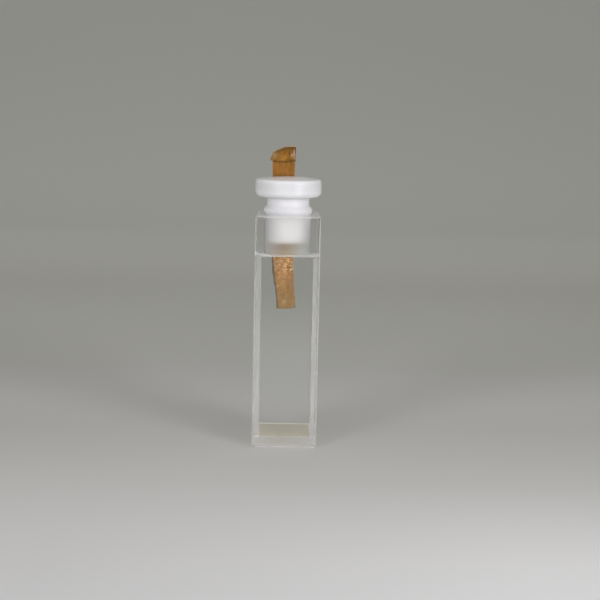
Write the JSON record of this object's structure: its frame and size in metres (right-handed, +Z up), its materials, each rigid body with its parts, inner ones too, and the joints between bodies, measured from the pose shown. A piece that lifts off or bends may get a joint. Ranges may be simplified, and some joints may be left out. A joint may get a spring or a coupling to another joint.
{
  "type": "cuvette",
  "caption": "Square quartz cuvette with clear front and rear windows, ground side walls, and a white push-in stopper that holds a strip of amber film in the cell.",
  "frame": {"origin": "centre of the cell's foot, on the surface it stands on", "axes": "+Z up along the cell and the stopper, -Y towards the front window (the light passes along Y), +X to the right seen from the front"},
  "size_m": [0.0128, 0.0128, 0.0582],
  "materials": {
    "polished_quartz": "polished clear fused quartz",
    "ground_quartz": "ground, frosted fused quartz",
    "neck_quartz": "clear fused quartz with a ground bore, top and sides",
    "white_plastic": "turned white fluoropolymer, satin",
    "amber_film": "creased translucent amber film"
  },
  "bodies": {
    "cell": {"front_window": "polished_quartz", "rear_window": "polished_quartz", "left_wall": "ground_quartz", "right_wall": "ground_quartz", "base_plate": "ground_quartz", "neck_block": "neck_quartz"},
    "stopper": {"stopper": "white_plastic", "sample_strip": "amber_film"}
  },
  "joints": [
    {"name": "stopper_lift", "type": "slide", "parent": "cell", "child": "stopper", "axis": [0, 0, 1], "range_m": [0, 0.03]}
  ]
}
